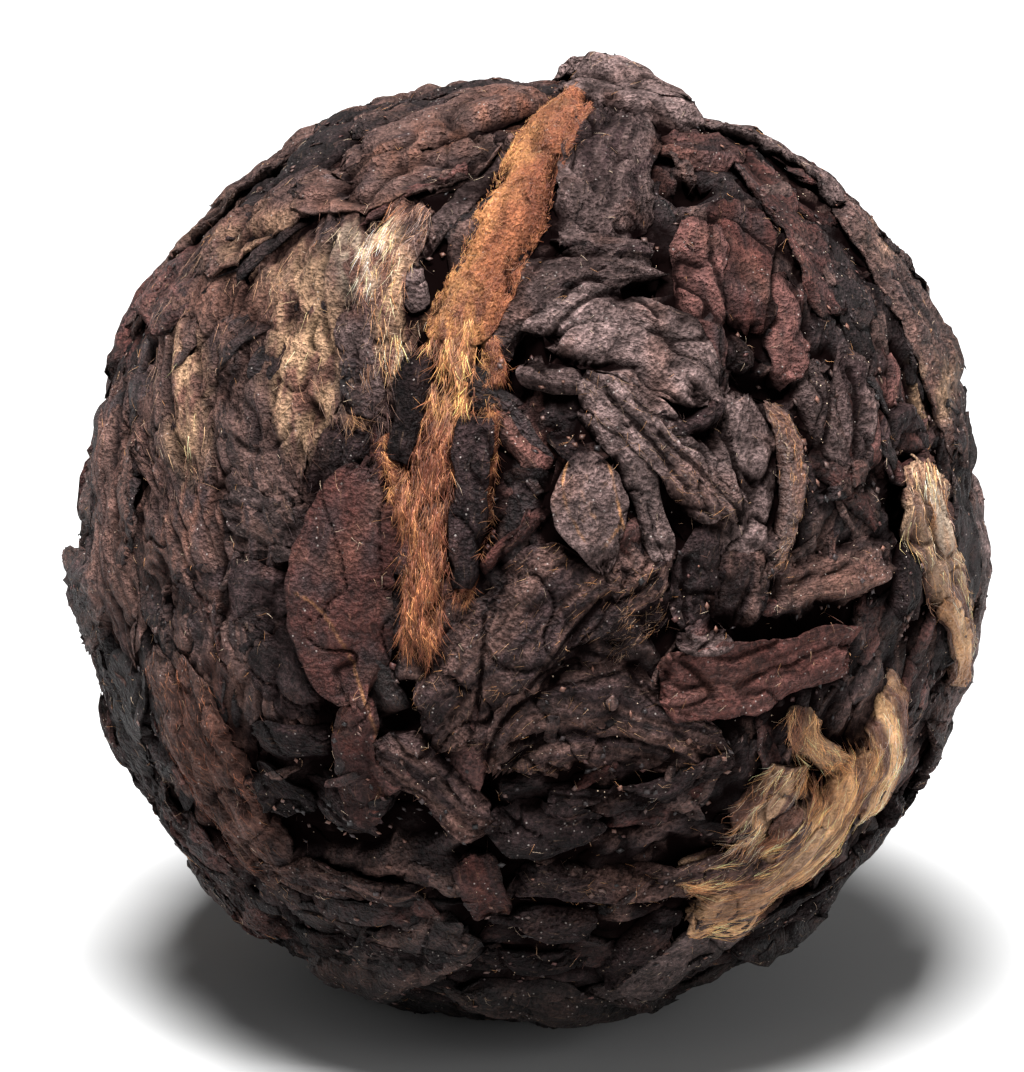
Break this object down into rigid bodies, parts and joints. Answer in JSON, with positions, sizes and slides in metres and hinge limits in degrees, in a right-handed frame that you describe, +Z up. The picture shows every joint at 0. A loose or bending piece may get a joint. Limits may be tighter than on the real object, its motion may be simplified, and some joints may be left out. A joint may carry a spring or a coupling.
{
  "type": "pu-erh tea ball",
  "caption": "Round ball of dark ripe tea leaves, buds and stems pressed into one rough lump, with a small flat spot to rest on, to be steeped whole.",
  "frame": {"origin": "on the floor, at the middle of the flat spot the ball rests on, below the middle of its outline", "axes": "+Z up, +X to the right as the show side is seen, -Y towards the viewer of the show side"},
  "size_m": [0.0251, 0.0252, 0.026],
  "materials": {
    "pressed_leaf": "dry, dark brown to black leaf with a faint sheen on its ridges",
    "brown_leaf": "dry, smooth reddish-brown leaf",
    "rust_bud": "dry bud with fine rust-coloured down",
    "golden_tip": "dry tan and golden leaf tips, fibrous",
    "leaf_hair": "fine dry leaf hairs and fibres"
  },
  "bodies": {
    "root": {"tea_ball": "pressed_leaf"}
  },
  "joints": []
}
